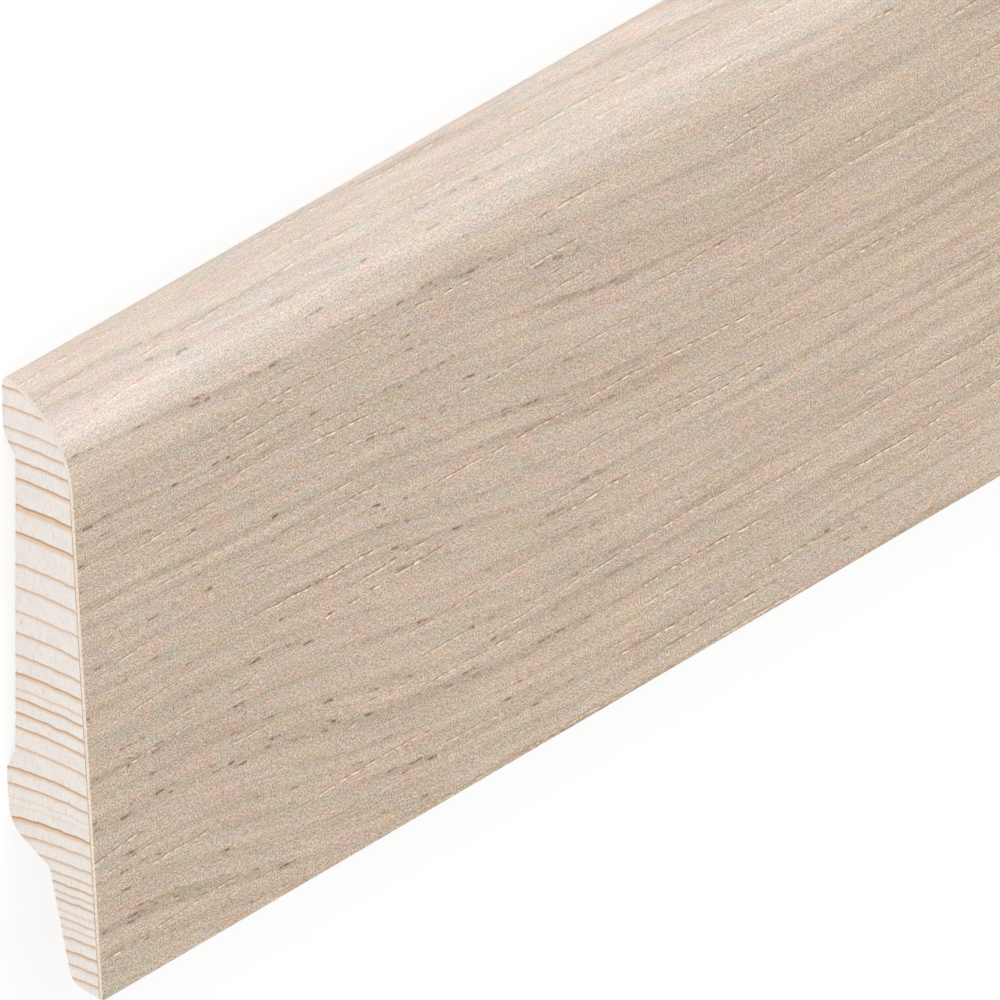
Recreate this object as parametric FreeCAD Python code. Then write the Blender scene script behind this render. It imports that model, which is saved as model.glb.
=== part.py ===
import FreeCAD, Part
import math
import os

# Skirting board length, lying on its back. Units are millimetres.
# X runs along the length, Y from the foot to the top edge, Z from the floor up to the face.
# The origin is on the floor, in the middle of the length and of the height.

# Driving sizes
length = 2400.0
height = 80.0
thickness = 15.2
veneer = 0.6

# Front face and rounded top edge
face_lean = math.radians(3.2)
top_radius = 12.0
back_top_radius = 1.2

# Foot: lean of its back, where that back meets the underside, and its rounding
foot_lean = math.radians(13.2)
foot_width = 5.0
foot_radius = 2.0

# Rebate behind the foot
rebate_height = 14.5
rebate_radius = 0.9
ceiling_slope = math.radians(25.0)

# Lower lug: edges of its flat, and the slight fall below the flat
lower_flat_bottom = 23.2
lower_flat_top = 25.3
lower_fall = math.radians(4.5)
lower_round = 4.0

# Upper lug: how far below the top its slanted, rounded shoulder lies
upper_shoulder = 8.1
upper_round = 5.0

# Shallow recess between the lugs: how deep it is at each edge of its floor, and
# how far those edges are from the lugs
recess_low_depth = 1.4
recess_low_gap = 2.9
recess_high_depth = 2.05
recess_high_gap = 2.2


def point(z, y):
    return FreeCAD.Vector(0, y - height / 2, z)


def direction(angle):
    # Unit vector in the section: 0 points along +Z and 90 degrees along +Y.
    return FreeCAD.Vector(0, math.sin(angle), math.cos(angle))


def meet(p, u, q, v):
    # Where the line through p along u meets the line through q along v.
    gap = q - p
    along = (gap.z * v.y - gap.y * v.z) / (u.z * v.y - u.y * v.z)
    return p + u * along


def arc(centre, radius, start, end):
    # Short arc about centre, between two unit directions from it.
    middle = (start + end).normalize()
    ends = [centre + start * radius, centre + middle * radius, centre + end * radius]
    return Part.Arc(*ends).toShape()


def rounded_run(corners):
    # Edges through the corners, each (point, radius); the first and last stay sharp.
    edges = []
    last = corners[0][0]
    for before, (corner, radius), after in zip(corners, corners[1:], corners[2:]):
        back = (before[0] - corner).normalize()
        ahead = (after[0] - corner).normalize()
        half = back.getAngle(ahead) / 2
        if radius:
            start = corner + back * (radius / math.tan(half))
            end = corner + ahead * (radius / math.tan(half))
            centre = corner + (back + ahead).normalize() * (radius / math.sin(half))
            edges.append(Part.makeLine(last, start))
            edges.append(arc(centre, radius, (start - centre).normalize(), (end - centre).normalize()))
            last = end
        else:
            edges.append(Part.makeLine(last, corner))
            last = corner
    edges.append(Part.makeLine(last, corners[-1][0]))
    return edges


# Front line, leaning back from the sharp front edge of the foot
front_edge = point(thickness, 0)
up_face = direction(math.pi / 2 + face_lean)
out_of_face = direction(face_lean)

# Small round between the upper lug's back and the top
small_centre = point(back_top_radius, height - back_top_radius)
lug_end = point(0, height - back_top_radius)

# Top round, touching both the front line and the small round
to_small = small_centre - front_edge
offset = -to_small.dot(out_of_face) - top_radius
rise = to_small.dot(up_face) - math.sqrt((top_radius - back_top_radius) ** 2 - offset ** 2)
top_centre = front_edge - out_of_face * top_radius + up_face * rise
rounds_meet = (small_centre - top_centre).normalize()

# Corners of the back, from the underside of the foot up to the upper lug
foot_corner = point(thickness - foot_width, 0)
foot_back = direction(math.pi / 2 + foot_lean)
rebate_corner = foot_corner + foot_back * (rebate_height / math.cos(foot_lean))
flat_bottom = point(0, lower_flat_bottom)
below_flat = direction(-math.pi / 2 + lower_fall)
lug_foot = meet(rebate_corner, direction(math.pi - ceiling_slope), flat_bottom, below_flat)
back_corners = [
    (front_edge, 0),
    (foot_corner, foot_radius),
    (rebate_corner, rebate_radius),
    (lug_foot, lower_round),
    (flat_bottom, 0),
    (point(0, lower_flat_top), 0),
    (point(recess_low_depth, lower_flat_top + recess_low_gap), 0),
    (point(recess_high_depth, height - upper_shoulder - recess_high_gap), 0),
    (point(0, height - upper_shoulder), upper_round),
    (lug_end, 0),
]

# Whole section
outline = rounded_run(back_corners)
outline.append(arc(small_centre, back_top_radius, direction(math.pi), rounds_meet))
outline.append(arc(top_centre, top_radius, rounds_meet, out_of_face))
outline.append(Part.makeLine(top_centre + out_of_face * top_radius, front_edge))
section = Part.Face(Part.Wire(Part.__sortEdges__(outline)))

# Everything behind the glue line: a veneer's thickness inside the front and the top round
inside = top_radius - veneer
behind_top = top_centre + direction(math.pi) * inside
inner_face = top_centre + out_of_face * inside
below = inner_face - up_face * (rise + height / 4)
behind_glue = [
    arc(top_centre, inside, direction(math.pi), direction(math.pi / 2)),
    arc(top_centre, inside, direction(math.pi / 2), out_of_face),
    Part.makeLine(inner_face, below),
    Part.makeLine(below, below + direction(math.pi) * height),
    Part.makeLine(below + direction(math.pi) * height, behind_top),
]
glue_side = Part.Face(Part.Wire(Part.__sortEdges__(behind_glue)))

run = FreeCAD.Vector(length, 0, 0)
start = FreeCAD.Vector(-length / 2, 0, 0)
pieces = {
    "softwood_core": section.common(glue_side),
    "oak_veneer": section.cut(glue_side),
}

os.makedirs("parts", exist_ok=True)
for name, faces in pieces.items():
    solid = faces.Faces[0].extrude(run)
    solid.translate(start)
    solid.exportStep("parts/" + name + ".step")
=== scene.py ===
import math

import bpy
from mathutils import Matrix, Vector
from mathutils.geometry import tessellate_polygon


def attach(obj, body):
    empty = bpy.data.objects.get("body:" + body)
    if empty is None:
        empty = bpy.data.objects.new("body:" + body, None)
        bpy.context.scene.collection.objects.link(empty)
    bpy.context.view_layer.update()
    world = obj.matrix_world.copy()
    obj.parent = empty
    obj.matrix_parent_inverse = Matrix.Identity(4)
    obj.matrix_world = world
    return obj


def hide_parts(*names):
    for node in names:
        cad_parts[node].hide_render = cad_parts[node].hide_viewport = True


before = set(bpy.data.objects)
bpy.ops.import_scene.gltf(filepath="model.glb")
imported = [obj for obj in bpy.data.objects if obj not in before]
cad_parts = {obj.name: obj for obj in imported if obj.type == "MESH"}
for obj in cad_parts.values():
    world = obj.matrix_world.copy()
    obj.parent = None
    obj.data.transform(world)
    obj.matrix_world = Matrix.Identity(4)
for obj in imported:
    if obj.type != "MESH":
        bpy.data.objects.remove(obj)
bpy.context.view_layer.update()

# Sizes of the section in millimetres, as in the part's source
LENGTH, HEIGHT, THICKNESS, VENEER = 2400.0, 80.0, 15.2, 0.6
FACE_LEAN, TOP_RADIUS, BACK_TOP_RADIUS = math.radians(3.2), 12.0, 1.2
FOOT_LEAN, FOOT_WIDTH, FOOT_RADIUS = math.radians(13.2), 5.0, 2.0
REBATE_HEIGHT, REBATE_RADIUS, CEILING_SLOPE = 14.5, 0.9, math.radians(25.0)
LOWER_FLAT, LOWER_FALL, LOWER_ROUND = (23.2, 25.3), math.radians(4.5), 4.0
UPPER_SHOULDER, UPPER_ROUND = 8.1, 5.0
RECESS_LOW, RECESS_HIGH = (1.4, 2.9), (2.05, 2.2)
GLUE = 0.13

# Steps of the rounds and of the flat front, and the edges that shade as sharp
ROUND_STEP, FRONT_STEP = math.radians(4.0), 6.0
SHARP = math.radians(18)

# Twice the area of a triangle that is too thin to keep
SLIVER = 1e-9

# The map for baking: the length is cut into strips, one over the other, with the ends above
STRIPS = 5
STRIP_LENGTH = LENGTH / STRIPS
MAP_GAP, MAP_END_ROOM = 2.0, 40.0
MAP_WIDTH = STRIP_LENGTH + 2 * MAP_GAP


# Section outlines, as points (Z, Y) with Y counted from the foot

def unit(angle):
    return Vector((math.cos(angle), math.sin(angle)))


def angle_of(v):
    return math.atan2(v.y, v.x)


def meet(p, u, q, v):
    """Where the line through p along u meets the line through q along v."""
    gap = q - p
    return p + u * (gap.x * v.y - gap.y * v.x) / (u.x * v.y - u.y * v.x)


def arc(centre, radius, start, end):
    turn = (end - start + math.pi) % (2 * math.pi) - math.pi
    steps = max(2, math.ceil(abs(turn) / ROUND_STEP))
    return [centre + radius * unit(start + turn * i / steps) for i in range(steps + 1)]


def straight(start, end, step):
    count = math.ceil((end - start).length / step)
    return [start.lerp(end, i / count) for i in range(count)]


def rounded_run(corners):
    """A run of straight lines from (point, radius) corners, each rounded by its radius."""
    points = [corners[0][0]]
    for before, (corner, radius), after in zip(corners, corners[1:], corners[2:]):
        if not radius:
            points.append(corner)
            continue
        back, ahead = (before[0] - corner).normalized(), (after[0] - corner).normalized()
        half = back.angle(ahead) / 2
        centre = corner + (back + ahead).normalized() * (radius / math.sin(half))
        reach = radius / math.tan(half)
        start, end = corner + back * reach, corner + ahead * reach
        points += arc(centre, radius, angle_of(start - centre), angle_of(end - centre))
    return points + [corners[-1][0]]


def outlines():
    """From foot to top: the back of the core, the veneer's outer curve with its corner at the
    top, its inner curve, and the front of the glue line."""
    front = Vector((THICKNESS, 0))
    up_face, out = unit(math.pi / 2 + FACE_LEAN), unit(FACE_LEAN)
    small = Vector((BACK_TOP_RADIUS, HEIGHT - BACK_TOP_RADIUS))
    to_small = small - front
    offset = -to_small.dot(out) - TOP_RADIUS
    rise = to_small.dot(up_face) - math.sqrt((TOP_RADIUS - BACK_TOP_RADIUS) ** 2 - offset ** 2)
    top = front - out * TOP_RADIUS + up_face * rise
    join = angle_of(small - top)

    def curve(depth, end):
        """A curve that runs at depth under the front face and the round at the top."""
        start = front - out * depth
        start -= up_face * (start.y / up_face.y)
        bend = arc(top, TOP_RADIUS - depth, FACE_LEAN, end)
        return straight(start, bend[0], FRONT_STEP) + bend

    # The inner curve ends where it meets the small round at the top of the back
    inside = TOP_RADIUS - VENEER
    apart = (small - top).length
    lift = math.acos((inside ** 2 + apart ** 2 - BACK_TOP_RADIUS ** 2) / (2 * inside * apart))
    inner = curve(VENEER, join + lift)
    corner_end = angle_of(inner[-1] - small)
    outer = curve(0.0, join) + arc(small, BACK_TOP_RADIUS, join, corner_end)[1:]
    glue_front = curve(VENEER - GLUE, join + lift)[:-1]

    foot = Vector((THICKNESS - FOOT_WIDTH, 0))
    rebate = foot + unit(math.pi / 2 + FOOT_LEAN) * (REBATE_HEIGHT / math.cos(FOOT_LEAN))
    flat = Vector((0, LOWER_FLAT[0]))
    lug = meet(rebate, unit(math.pi - CEILING_SLOPE), flat, unit(-math.pi / 2 + LOWER_FALL))
    shoulder = HEIGHT - UPPER_SHOULDER
    back = rounded_run([
        (inner[0], 0), (foot, FOOT_RADIUS), (rebate, REBATE_RADIUS), (lug, LOWER_ROUND),
        (flat, 0), (Vector((0, LOWER_FLAT[1])), 0),
        (Vector((RECESS_LOW[0], LOWER_FLAT[1] + RECESS_LOW[1])), 0),
        (Vector((RECESS_HIGH[0], shoulder - RECESS_HIGH[1])), 0),
        (Vector((0, shoulder)), UPPER_ROUND), (Vector((0, small.y)), 0)])
    back += arc(small, BACK_TOP_RADIUS, math.pi, corner_end)[1:]
    return back, outer, inner, glue_front


def developed(points, total=None):
    """Each point's distance along the polyline, scaled to end at total where one is given."""
    out = [0.0]
    for a, b in zip(points, points[1:]):
        out.append(out[-1] + (b - a).length)
    return out if total is None else [d * total / out[-1] for d in out]


class Skin:
    """Vertices, faces and maps of a length of board, in mm. The section's points are (Z, Y)
    and a strip's number stands for where it starts along the length."""

    def __init__(self, loop, across):
        self.loop, self.across = loop, across
        self.around = developed(loop + loop[:1])
        self.row = self.around[-1] + 2 * MAP_GAP
        self.map_height = STRIPS * self.row + MAP_END_ROOM
        self.numbers = {}
        self.verts, self.faces, self.kinds, self.sheet, self.bake = [], [], [], [], []

    def vertex(self, strip, point):
        """The number of the vertex at a section point, which is added if it's new."""
        key = (strip, tuple(point))
        if key not in self.numbers:
            self.numbers[key] = len(self.verts)
            self.verts.append((strip * STRIP_LENGTH - LENGTH / 2, point.y - HEIGHT / 2, point.x))
        return self.numbers[key]

    def add_face(self, corners, kind, sheet, bake):
        self.faces.append(corners)
        self.kinds.append(kind)
        self.sheet += sheet
        self.bake += [((x + MAP_GAP) / MAP_WIDTH, (y + MAP_GAP) / self.map_height) for x, y in bake]

    def add_sides(self):
        """The long faces round the loop, strip by strip."""
        rings = [[self.vertex(i, p) for p in self.loop] for i in range(STRIPS + 1)]
        for i, (ring, ahead) in enumerate(zip(rings, rings[1:])):
            start, end = i * STRIP_LENGTH, (i + 1) * STRIP_LENGTH
            for j in range(len(ring)):
                k = (j + 1) % len(ring)
                low, high = i * self.row + self.around[j], i * self.row + self.around[j + 1]
                this, that = self.across[j], self.across[k]
                self.add_face(
                    (ring[j], ahead[j], ahead[k], ring[k]), 0,
                    [(start, this), (end, this), (end, that), (start, that)],
                    [(0, low), (STRIP_LENGTH, low), (STRIP_LENGTH, high), (0, high)])

    def add_end(self, strip, polygon, kind):
        """Triangles that fill a polygon of the section at one end of the length."""
        ring = [self.vertex(strip, p) for p in polygon]
        side = 0 if strip == 0 else HEIGHT + MAP_GAP
        for a, b, c in tessellate_polygon([[Vector((p.x, p.y, 0)) for p in polygon]]):
            turn = (polygon[b] - polygon[a]).cross(polygon[c] - polygon[a])
            if abs(turn) < SLIVER:
                continue
            # Seen from -X, Z runs right and Y up, so the -X end turns clockwise in (Z, Y)
            corners = (a, c, b) if (turn > 0) == (strip == 0) else (a, b, c)
            places = [polygon[t] for t in corners]
            self.add_face(
                tuple(ring[t] for t in corners), kind,
                [(strip * STRIP_LENGTH, p.y) for p in places],
                [(side + p.y, STRIPS * self.row + p.x) for p in places])

    def build(self, name, materials):
        mesh = bpy.data.meshes.new(name)
        mesh.from_pydata([Vector(v) / 1000 for v in self.verts], [], self.faces)
        for material in materials:
            mesh.materials.append(material)
        mesh.polygons.foreach_set("material_index", self.kinds)
        mesh.polygons.foreach_set("use_smooth", [True] * len(self.faces))
        for title, values in (("OFBake", self.bake), ("Sheet", self.sheet)):
            layer = mesh.uv_layers.new(name=title)
            layer.uv.foreach_set("vector", [c for pair in values for c in pair])
        mesh.uv_layers.active = mesh.uv_layers["OFBake"]
        mesh.validate()
        mesh.update()
        mesh.set_sharp_from_angle(angle=SHARP)
        ob = bpy.data.objects.new(name, mesh)
        bpy.context.collection.objects.link(ob)
        return ob


def solid(name, loop, across, caps, materials):
    """A length with the closed section loop. across is the developed distance of each loop
    point; caps are (polygon, number of its material) pairs that fill each end."""
    skin = Skin(loop, across)
    skin.add_sides()
    for strip in (0, STRIPS):
        for polygon, kind in caps:
            skin.add_end(strip, polygon, kind)
    return skin.build(name, materials)


# Materials

def linear(r, g, b):
    """A colour on a 0 to 255 scale, as the linear numbers that a shader takes."""
    out = [c / 255 for c in (r, g, b)]
    return [c / 12.92 if c <= 0.04045 else ((c + 0.055) / 1.055) ** 2.4 for c in out] + [1.0]


class Look:
    """A material's node tree. Numbers stand for themselves and sockets are linked."""

    def __init__(self, name, roughness=0.5, view=(0.8, 0.8, 0.8, 1)):
        self.material = bpy.data.materials.new(name)
        self.material.use_nodes = True
        self.material.diffuse_color = view
        self.tree = self.material.node_tree
        self.shader = self.tree.nodes["Principled BSDF"]
        self.shader.inputs["Roughness"].default_value = roughness

    def put(self, socket, value):
        if isinstance(value, bpy.types.NodeSocket):
            self.tree.links.new(value, socket)
        elif hasattr(socket.default_value, "__len__") and not hasattr(value, "__len__"):
            socket.default_value = [value] * len(socket.default_value)
        else:
            socket.default_value = value

    def add(self, kind, values=(), **settings):
        node = self.tree.nodes.new("ShaderNode" + kind)
        for key, value in settings.items():
            setattr(node, key, value)
        for key, value in dict(values).items():
            self.put(node.inputs[key], value)
        return node

    def math(self, operation, *values):
        return self.add("Math", enumerate(values), operation=operation).outputs[0]

    def plus(self, *values):
        total = values[0]
        for value in values[1:]:
            total = self.math("ADD", total, value)
        return total

    def times(self, *values):
        total = values[0]
        for value in values[1:]:
            total = self.math("MULTIPLY", total, value)
        return total

    def minus(self, a, b):
        return self.math("SUBTRACT", a, b)

    def step(self, value, low, high):
        """0 at low, 1 at high, smooth between."""
        values = {"Value": value, "From Min": low, "From Max": high}
        return self.add("MapRange", values, interpolation_type="SMOOTHSTEP").outputs[0]

    def band(self, value, middle, half):
        """1 at middle, falling to 0 at half away on either side."""
        away = self.math("ABSOLUTE", self.minus(value, middle))
        return self.step(away, half, half * 0.3)

    def at(self, x, y, z=0.0):
        return self.add("CombineXYZ", {0: x, 1: y, 2: z}).outputs[0]

    def parts(self, vector):
        return self.add("SeparateXYZ", {0: vector}).outputs[:3]

    def object_place(self):
        """X and Y from the middle of the board and Z from the floor, in mm."""
        return [self.times(c, 1000.0) for c in self.parts(self.add("TexCoord").outputs["Object"])]

    def noise(self, place, sizes, detail=1.0, rough=0.5):
        """Noise from 0 to 1 over a place of two or three numbers, with cells of these sizes."""
        steps = [self.times(where, 1 / size) for where, size in zip(place, sizes)]
        settings = {"noise_dimensions": "2D" if len(place) == 2 else "3D"}
        node = self.add("TexNoise", {"Vector": self.at(*steps)}, **settings)
        for key, value in (("Scale", 1.0), ("Detail", detail), ("Roughness", rough)):
            node.inputs[key].default_value = value
        return node.outputs["Fac"]

    def swing(self, noise, size=1.0):
        """A noise as a swing to either side of 0, times size."""
        return self.times(self.minus(noise, 0.5), size)

    def random(self, value):
        return self.add("TexWhiteNoise", {"W": value}, noise_dimensions="1D").outputs["Value"]

    def mix(self, factor, a, b, blend="MIX"):
        node = self.add("Mix", data_type="RGBA", blend_type=blend)
        for socket, value in zip([node.inputs[i] for i in (0, 6, 7)], (factor, a, b)):
            self.put(socket, value)
        return node.outputs[2]

    def curve(self, value, points):
        node = self.add("FloatCurve", {"Value": value})
        line = node.mapping.curves[0]
        for _ in points[2:]:
            line.points.new(0.5, 0.5)
        for spot, place in zip(line.points, points):
            spot.location = place
            spot.handle_type = "VECTOR"
        node.mapping.update()
        return node.outputs[0]

    def dashes(self, u, v, pitch_u, pitch_v, length, tilt):
        """Scattered short lines along u, one to a cell. Returns how much a place is within
        one's run, the distance above its middle, and its own random number."""
        place = self.at(self.times(u, 1 / pitch_u), self.times(v, 1 / pitch_v))
        cell = self.add("TexVoronoi", {"Vector": place}, voronoi_dimensions="2D")
        cell.inputs["Scale"].default_value = 1.0
        spot_u, spot_v, _ = self.parts(cell.outputs["Position"])
        along = self.minus(u, self.times(spot_u, pitch_u))
        above = self.minus(v, self.times(spot_v, pitch_v))
        above = self.minus(above, self.times(along, tilt))
        own = self.add("SeparateColor", {0: cell.outputs["Color"]})
        reach = self.times(self.plus(0.45, own.outputs[0]), length / 2)
        run = self.step(self.minus(reach, self.math("ABSOLUTE", along)), 0.0, length * 0.15)
        return run, above, own.outputs[1]

    def finish(self, colour, height=None, depth=0.0, roughness=None):
        self.put(self.shader.inputs["Base Color"], colour)
        if roughness is not None:
            self.put(self.shader.inputs["Roughness"], roughness)
        if height is not None:
            bump = self.add("Bump", {"Height": height, "Strength": 1.0, "Distance": depth})
            self.put(self.shader.inputs["Normal"], bump.outputs[0])
        return self.material


# Relief of the grain in metres: of the oak, the end grain and the planed long grain
OAK_RELIEF, END_RELIEF, PLANED_RELIEF = 0.000004, 0.00004, 0.00005

# Places across the sheet in mm from the foot: where the flat front gives way to the round
ROUND_START, ROUND_HALFWAY = 68.0, 74.0

# Roughness of the oiled face, and how much smoother the round is
OIL_ROUGHNESS, ROUND_POLISH = 0.5, 0.08


def oak_face():
    """White-oiled oak: growth lines that sag past the photographed end, dark pores along
    them, limed grooves in rows with painted highlight and painted shade on their edges, a fine
    speckle, and painted light over the round and along the length. Places are in mm on the
    sheet: u from the photographed end and v from the foot."""
    k = Look("oiled oak face", OIL_ROUGHNESS, (0.6, 0.5, 0.4, 1))
    k.shader.inputs["Specular IOR Level"].default_value = 1.0
    k.shader.inputs["IOR"].default_value = 1.65
    u, v, _ = k.parts(k.add("UVMap", uv_map="Sheet").outputs[0])

    # How far the growth lines have dropped at each place
    bend = k.minus(u, k.plus(24.0, k.times(v, 1.05)))
    drop = k.plus(
        k.times(k.step(u, -40.0, 90.0), 6.0), k.times(k.step(bend, -34.0, 28.0), 5.0))
    wander = k.times(k.swing(k.noise((u, v), (330.0, 70.0))), k.step(u, 60.0, 420.0), 44.0)
    ripple = k.swing(k.noise((u, v), (38.0, 9.0), detail=2.0), 1.8)
    line_v = k.plus(v, drop, wander, ripple)

    # Noises for streaks, speckle and slow drifts of tone. Two are shifted, so that they don't
    # follow the others.
    streak = k.noise((u, v), (3.2, 0.26))
    fibre = k.noise((u, v), (1.0, 0.22), detail=0.0)
    speck = k.noise((u, v), (0.24, 0.18), detail=0.0)
    mottle = k.noise((u, line_v), (14.0, 0.9), detail=2.0)
    drift = k.noise((u, line_v), (90.0, 8.0))
    hue = k.noise((u, line_v), (4.0, 1.1))
    blush = k.noise((u, line_v), (9.0, 1.7), detail=3.0, rough=0.6)
    warmth = k.noise((k.plus(u, 320.0), line_v), (8.0, 1.5), detail=2.0)
    patchy = k.noise((u, line_v), (30.0, 1.6), detail=2.0)
    swell = k.noise((u, k.plus(line_v, 144.0)), (34.0, 2.4), detail=0.0)
    crumble = k.swing(k.noise((u, v), (0.9, 0.6)))
    wave = k.swing(k.noise((u, v), (4.5, 3.0)))
    flat = k.step(v, 84.0, 66.0)

    # Growth lines: unevenly spaced, each with its own strength, and patchy along their run
    line_pitch = 2.9
    uneven = k.swing(k.noise((line_v, 3.7), (9.0, 1.0)), 5.0)
    number = k.plus(k.times(k.plus(line_v, uneven), 1 / line_pitch), 40.0)
    number = k.plus(number, k.swing(mottle, 0.45))
    phase = k.math("FRACT", number)
    own = k.random(k.math("FLOOR", number))
    line = k.times(
        k.step(phase, 0.26, 0.56), k.step(phase, 0.88, 0.64),
        k.plus(0.35, k.times(own, 0.65)), k.step(patchy, 0.30, 0.62),
        k.plus(0.5, k.times(k.step(streak, 0.36, 0.64), 0.6)))

    # Dark pores crowd on the growth lines, most near the photographed end, each in a tan halo
    pore_v = k.plus(v, k.times(drop, 0.8), k.times(crumble, 0.35), k.times(wave, 0.8))
    run, above, pore_own = k.dashes(u, pore_v, 3.0, 0.9, 1.7, 0.03)
    zone = k.math("MAXIMUM", k.step(u, 110.0, 50.0), k.step(drift, 0.62, 0.72))
    chosen = k.times(
        run, k.plus(0.3, k.times(zone, 0.7)), k.plus(0.35, k.times(flat, 0.65)),
        k.step(k.plus(k.times(pore_own, 0.8), k.times(line, 0.9)), 0.78, 0.96))
    dark = k.times(
        chosen, k.band(above, 0.0, 0.22), k.plus(0.35, k.times(k.step(crumble, -0.08, 0.06), 0.65)))
    halo = k.times(chosen, k.band(above, -0.05, 0.55))

    # Limed grooves in single rows along the length: pale flecks of lime with a painted highlight
    # on their lower edge, a brown line of painted shade over them, and tan on both sides
    row_pitch = 2.3
    row_v = k.plus(
        v, k.times(k.noise((u, v), (55.0, 30.0)), 5.0), k.times(crumble, 0.30),
        k.times(wave, 0.55))
    row = k.times(row_v, 1 / row_pitch)
    row_own = k.random(k.math("FLOOR", row))
    above = k.minus(k.math("FRACT", row), k.plus(0.3, k.times(row_own, 0.4)))
    above = k.times(above, row_pitch)
    spell = k.noise((u, k.times(row_own, 900.0)), (24.0, 1.0))
    stitch = k.noise((u, k.times(row_own, 700.0)), (1.7, 1.0), detail=0.0)
    chosen = k.times(
        k.step(spell, 0.51, 0.63), k.step(stitch, 0.32, 0.46), k.plus(0.4, k.times(flat, 0.6)),
        k.plus(0.55, k.times(row_own, 0.45)))
    tan = k.times(chosen, k.band(above, 0.0, 0.50))
    # Lime in the grooves with a painted highlight on their lower edge
    pale = k.times(chosen, k.band(above, -0.10, 0.19), k.step(crumble, -0.03, 0.05))
    # Painted shade along the grooves' upper edge
    brown = k.times(
        chosen, k.band(above, 0.08, 0.13), k.plus(0.6, k.times(k.step(crumble, 0.10, -0.05), 0.4)))

    tone = k.mix(k.step(drift, 0.32, 0.68), linear(203, 185, 165), linear(199, 183, 167))
    tone = k.mix(k.step(hue, 0.28, 0.72), tone, linear(208, 184, 162))
    tone = k.mix(k.times(line, 0.65), tone, linear(161, 141, 121))

    # What each swing does to red, green and blue. The fine ones are calmest on the round. The
    # round is painted whiter as a sheen, with bands of painted highlight and painted shade across
    # it and a painted highlight near the photographed end. From the top of the front up the sheet
    # is a little lighter and bluer, and it is painted a little lighter away from that end, as
    # painted light that grows along the length.
    calm = k.plus(0.45, k.times(flat, 0.55))
    fine = k.plus(k.swing(speck, 1.28), k.swing(fibre, 0.45))
    middling = k.plus(k.swing(streak, 0.20), k.swing(mottle, 0.24))
    broad = k.plus(k.swing(patchy, 0.22), k.swing(swell, 0.15), k.swing(drift, 0.10))
    # Painted highlight on the round near the photographed end
    painted_end_highlight = k.times(k.step(u, 52.0, 4.0), k.band(v, 76.4, 2.8))
    swings = (
        (k.times(fine, calm), (0.84, 1.04, 1.34)),
        (middling, (0.74, 1.03, 1.50)),
        (broad, (1.0, 1.0, 1.0)),
        (k.swing(blush), (0.13, -0.13, 0.13)),
        (k.swing(warmth), (0.13, 0.04, -0.12)),
        # Painted light: the sheet lighter away from the photographed end
        (k.step(u, 20.0, 200.0), (0.06, 0.06, 0.06)),
        (k.step(v, 56.0, 64.0), (0.015, 0.025, 0.05)),
        # Painted sheen: the round whiter
        (k.step(v, 68.0, 80.0), (-0.02, 0.005, 0.065)),
        # Painted highlight and painted shade in bands across the round, shaping its shading
        (k.band(v, 70.3, 2.6), (0.045, 0.045, 0.045)),
        (k.band(v, 74.0, 2.0), (-0.04, -0.04, -0.04)),
        # Painted highlight near the photographed end
        (painted_end_highlight, (0.13, 0.14, 0.23)))
    light = k.at(*(
        k.plus(1.0, *(k.times(swing, shares[channel]) for swing, shares in swings))
        for channel in range(3)))
    tone = k.mix(1.0, tone, light, "MULTIPLY")
    tone = k.mix(k.times(halo, 0.30), tone, linear(188, 150, 122))
    tone = k.mix(k.times(dark, 0.90), tone, linear(112, 78, 54))
    tone = k.mix(k.times(tan, 0.37), tone, linear(209, 177, 143))
    # Painted shade over the grooves
    tone = k.mix(k.times(brown, 0.94), tone, linear(118, 80, 52))
    # Lime and painted highlight in the grooves
    tone = k.mix(k.times(pale, 0.92), tone, linear(255, 242, 219))
    polish = k.times(k.step(v, ROUND_START, ROUND_HALFWAY), ROUND_POLISH)
    return k.finish(tone, streak, OAK_RELIEF, k.minus(OIL_ROUGHNESS, polish))


# The edge and glue are faintest round the top: mm up from the middle of the board
EDGE_FADE = 26.0, 32.0


def oak_edge():
    """The veneer's cut edges: pale, with fine pores."""
    k = Look("oiled oak cut edge", 0.7, (0.7, 0.6, 0.5, 1))
    x, y, z = k.object_place()
    pores = k.noise((x, y, z), (1 / 0.9, 1 / 2.6, 1 / 5.2))
    tone = k.mix(k.step(pores, 0.35, 0.65), linear(222, 202, 180), linear(242, 228, 212))
    return k.finish(k.mix(k.times(k.step(y, *EDGE_FADE), 0.8), tone, linear(234, 221, 210)))


def glue():
    """The patchy brown glue line between the core and the veneer."""
    k = Look("glue line", 0.6, (0.3, 0.22, 0.16, 1))
    _, y, z = k.object_place()
    patchy = k.noise((y, z), (1 / 0.9, 1 / 0.9))
    tone = k.mix(patchy, linear(150, 122, 100), linear(215, 190, 168))
    return k.finish(k.mix(k.times(k.step(y, *EDGE_FADE), 0.9), tone, linear(232, 219, 207)))


# Growth rings of the core, along a line 6 mm in front of its back: mm above the foot, and
# how strong each is
RING_DEPTH = 6.0
RINGS = (
    (1.75, 0.55), (3.55, 0.7), (5.45, 0.55), (6.75, 0.3), (7.9, 0.4), (8.95, 0.2),
    (10.4, 0.6), (11.45, 0.4), (12.65, 0.65), (14.05, 0.45), (15.65, 0.45), (17.75, 0.5),
    (20.1, 1.0), (21.75, 0.1), (22.7, 0.12), (24.45, 0.6), (26.65, 0.75), (29.8, 0.45),
    (32.5, 0.65), (34.5, 0.75), (36.55, 0.75), (37.9, 0.28), (40.1, 0.8), (42.6, 0.6),
    (45.7, 0.55), (48.75, 0.4), (52.15, 0.5), (55.35, 0.55), (59.8, 0.9), (63.65, 1.0),
    (67.35, 0.8), (69.9, 0.7), (72.05, 0.6), (74.0, 0.4), (76.95, 0.5), (79.5, 0.6))
RING_SPAN = 84.0
WIDEST = 6.0


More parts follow.
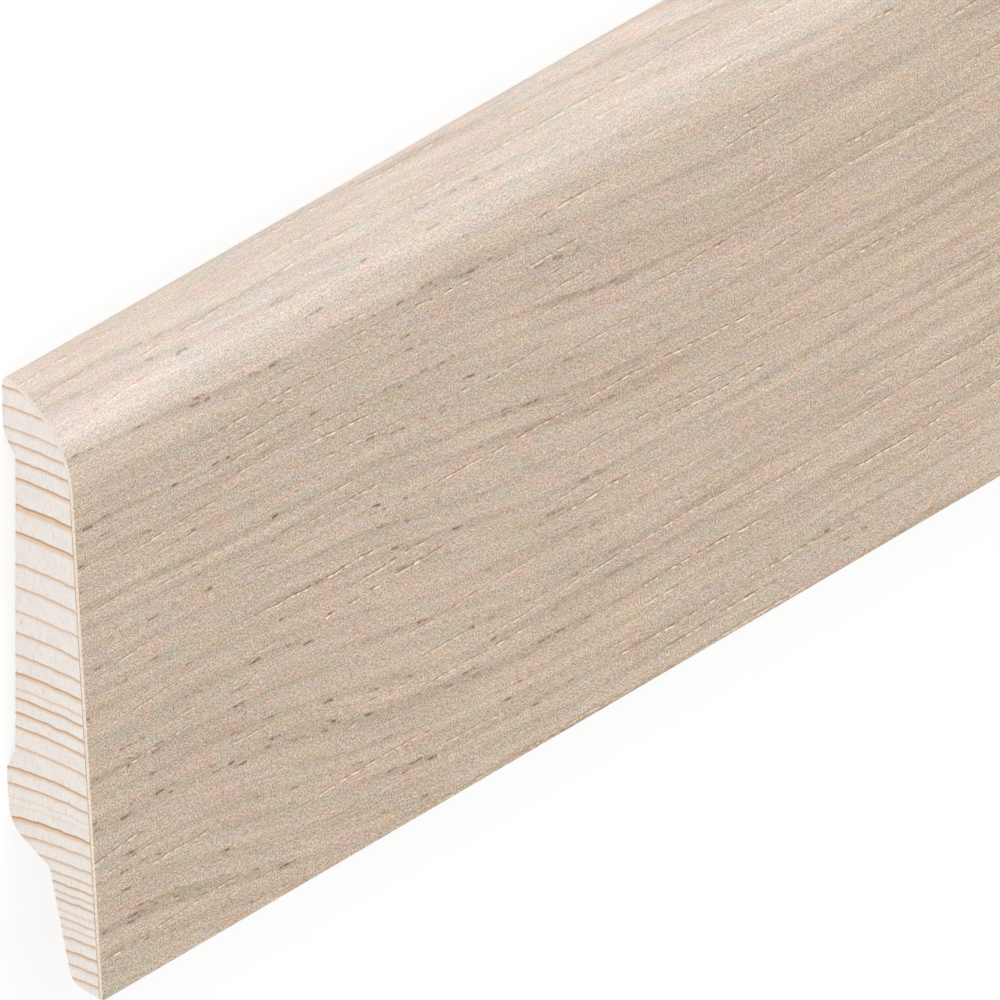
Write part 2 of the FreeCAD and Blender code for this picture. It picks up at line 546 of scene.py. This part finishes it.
def ring_field(k):
    """How dark the latewood and its fading side are at each place, and the place in mm with
    Y from the foot."""
    x, y, z = k.object_place()
    y = k.plus(y, HEIGHT / 2)
    from_middle = k.minus(z, RING_DEPTH)
    slope = k.plus(0.145, k.times(k.step(y, 30.0, 18.0), 0.085))
    bow = k.times(from_middle, from_middle, 0.006)
    from_end = k.plus(x, LENGTH / 2)
    sway = k.times(k.swing(k.noise((x, y), (420.0, 90.0))), k.step(from_end, 10.0, 300.0), 9.0)
    waver = k.swing(k.noise((x, y, z), (40.0, 4.0, 2.2), detail=2.0), 0.5)
    level = k.plus(k.minus(y, k.times(from_middle, slope)), bow, sway, waver)
    share = k.times(level, 1 / RING_SPAN)

    # Curves over the height: the ring's number, the gap between two rings, and the strength
    count = len(RINGS) + 1
    edges = [0.0] + [h for h, _ in RINGS] + [RING_SPAN]
    number = k.curve(share, [(h / RING_SPAN, i / count) for i, h in enumerate(edges)])
    phase = k.math("FRACT", k.times(number, count))
    gaps, powers = [], []
    for low, high in zip(edges, edges[1:]):
        gap = high - low
        for part in (0.12, 0.88):
            gaps.append(((low + part * gap) / RING_SPAN, gap / WIDEST))
    for (low, (h, power), high) in zip(edges, RINGS, edges[2:]):
        powers.append(((h - 0.5 * (h - low)) / RING_SPAN, power))
        powers.append(((h + 0.4 * (high - h)) / RING_SPAN, power))
    gap = k.times(k.curve(share, gaps), WIDEST)
    power = k.curve(share, powers)

    below = k.times(k.minus(1.0, phase), gap)
    above = k.times(phase, gap)
    strong = k.step(power, 0.7, 1.0)
    core = k.math("MAXIMUM", k.step(below, 0.30, 0.10), k.step(above, 0.14, 0.02))
    reach = k.math("MINIMUM", k.plus(0.7, k.times(strong, 0.5)), k.times(gap, 0.4))
    fade = k.math(
        "MAXIMUM", k.step(below, reach, k.times(reach, 0.4)), k.step(above, 0.22, 0.0))
    return k.times(core, power), k.times(fade, power), x, y, z


def softwood_end():
    """End grain: pale, with tan latewood lines and a fine radial hatch."""
    k = Look("softwood end grain", 0.75, (0.85, 0.78, 0.7, 1))
    core, fade, _, y, z = ring_field(k)
    hatch = k.noise((z, y), (0.17, 1.9))
    cells = k.noise((z, y), (0.24, 0.24))
    tint = k.noise((z, y), (3.0, 2.5))
    tone = k.mix(k.step(tint, 0.35, 0.65), linear(235, 228, 221), linear(232, 225, 220))
    tone = k.mix(k.step(hatch, 0.52, 0.82), tone, linear(222, 208, 196))
    tone = k.mix(k.times(fade, 0.85), tone, linear(223, 188, 154))
    tone = k.mix(core, tone, linear(185, 148, 117))
    light = k.plus(1.0, k.swing(cells, 0.24))
    tone = k.mix(1.0, tone, k.at(light, light, light), "MULTIPLY")
    return k.finish(tone, cells, END_RELIEF)


def softwood_side():
    """Planed long grain of the back and the foot, with the same rings."""
    k = Look("softwood long grain", 0.6, (0.8, 0.7, 0.55, 1))
    core, fade, x, y, z = ring_field(k)
    around = k.plus(y, k.times(z, 1.3))
    streak = k.noise((x, around), (26.0, 0.4), detail=2.0)
    drift = k.noise((x, around), (300.0, 18.0))
    tone = k.mix(k.step(drift, 0.3, 0.7), linear(228, 207, 174), linear(222, 198, 160))
    tone = k.mix(k.step(streak, 0.42, 0.75), tone, linear(206, 178, 138))
    tone = k.mix(k.times(fade, 0.6), tone, linear(206, 164, 118))
    tone = k.mix(k.times(core, 0.7), tone, linear(176, 130, 84))
    return k.finish(tone, streak, PLANED_RELIEF)


# The two pieces

back, outer, inner, glue_front = outlines()

outer_across = developed(outer)
inner_across = developed(inner, outer_across[-1])
veneer = solid(
    "oak_sheet", outer + inner[-2::-1], outer_across + inner_across[-2::-1],
    [(inner + glue_front[::-1], 2), (outer + glue_front[::-1], 1)],
    [oak_face(), oak_edge(), glue()])

core_loop = back + inner[-2:0:-1]
core = solid("core_length", core_loop, [p.y for p in core_loop],
             [(core_loop, 1)], [softwood_side(), softwood_end()])

for piece, node in ((veneer, "oak_veneer"), (core, "softwood_core")):
    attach(piece, "root")
    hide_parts(node)


# Floor, backdrop and light

def grey(value):
    return value, value, value, 1


def floor_look():
    """Pale floor. To the camera it adds its own white, so that only the shadow shows."""
    mat = bpy.data.materials.new("pale floor")
    mat.use_nodes = True
    tree = mat.node_tree
    tree.nodes.clear()
    new, link = tree.nodes.new, tree.links.new
    out, path = new("ShaderNodeOutputMaterial"), new("ShaderNodeLightPath")
    plain, faint = new("ShaderNodeBsdfDiffuse"), new("ShaderNodeBsdfDiffuse")
    white = new("ShaderNodeEmission")
    for shader, value in ((plain, 0.82), (faint, 0.22), (white, 0.80)):
        shader.inputs["Color"].default_value = grey(value)
    both, choose = new("ShaderNodeAddShader"), new("ShaderNodeMixShader")
    seen, clear = new("ShaderNodeMath"), new("ShaderNodeMath")
    seen.operation = clear.operation = "MAXIMUM"
    link(path.outputs["Is Camera Ray"], seen.inputs[0])
    link(path.outputs["Is Glossy Ray"], seen.inputs[1])
    link(seen.outputs[0], clear.inputs[0])
    link(path.outputs["Is Transmission Ray"], clear.inputs[1])
    link(faint.outputs[0], both.inputs[0])
    link(white.outputs[0], both.inputs[1])
    link(clear.outputs[0], choose.inputs[0])
    link(plain.outputs[0], choose.inputs[1])
    link(both.outputs[0], choose.inputs[2])
    link(choose.outputs[0], out.inputs[0])
    return mat


bpy.ops.mesh.primitive_plane_add(size=120.0, location=(0, 0, 0))
floor = bpy.context.object
floor.name = "floor"
floor.data.materials.append(floor_look())


def sun(name, towards, strength, spread):
    """A broad light that stands in the direction towards and is spread degrees wide."""
    lamp = bpy.data.lights.new(name, "SUN")
    lamp.energy = strength
    lamp.angle = math.radians(spread)
    ob = bpy.data.objects.new(name, lamp)
    ob.rotation_mode = "QUATERNION"
    ob.rotation_quaternion = Vector(towards).to_track_quat("Z", "Y")
    bpy.context.collection.objects.link(ob)


sun("broad light over the top edge", (-0.04, 0.89, 0.45), 2.55, 60)
sun("light on the near end", (-0.65, -0.49, 0.58), 2.1, 30)
sun("sheen along the round", (0.62, 0.29, 0.73), 0.6, 36)


def studio_world():
    """Faint even light from all round, and plain white where the camera sees past the floor."""
    world = bpy.data.worlds.new("studio")
    world.use_nodes = True
    tree = world.node_tree
    tree.nodes.clear()
    new, link = tree.nodes.new, tree.links.new
    path, out = new("ShaderNodeLightPath"), new("ShaderNodeOutputWorld")
    soft, white = new("ShaderNodeBackground"), new("ShaderNodeBackground")
    choose, seen = new("ShaderNodeMixShader"), new("ShaderNodeMath")
    seen.operation = "MAXIMUM"
    soft.inputs["Strength"].default_value = 0.13
    soft.inputs["Color"].default_value = grey(1)
    white.inputs["Color"].default_value = grey(1)
    link(path.outputs["Is Camera Ray"], seen.inputs[0])
    link(path.outputs["Is Transmission Ray"], seen.inputs[1])
    link(seen.outputs[0], choose.inputs[0])
    link(soft.outputs[0], choose.inputs[1])
    link(white.outputs[0], choose.inputs[2])
    link(choose.outputs[0], out.inputs[0])
    return world


bpy.context.scene.world = studio_world()


# The camera's direction from the board, its roll, and the place on the face that is in the
# middle of the photograph, with how far off the camera stands, in metres
TURN, RISE, ROLL = math.radians(134.70), math.radians(35.44), math.radians(120.03)
AIM, DISTANCE = (-1.13382, -0.00425, 0.0132), 5.09


def photo_camera():
    """A long lens, because the photograph is close to a parallel view."""
    lens = bpy.data.cameras.new("camera")
    lens.lens = 1600.0
    lens.sensor_width = 36.0
    lens.clip_end = 120.0
    camera = bpy.data.objects.new("camera", lens)
    bpy.context.collection.objects.link(camera)
    turned = Matrix.Rotation(TURN + math.pi / 2, 4, "Z")
    raised = Matrix.Rotation(math.pi / 2 - RISE, 4, "X")
    rolled = Matrix.Rotation(ROLL, 4, "Z")
    set_back = Matrix.Translation((0, 0, DISTANCE))
    camera.matrix_world = Matrix.Translation(AIM) @ turned @ raised @ rolled @ set_back
    return camera


bpy.context.scene.camera = photo_camera()
bpy.context.scene.view_settings.view_transform = "Standard"
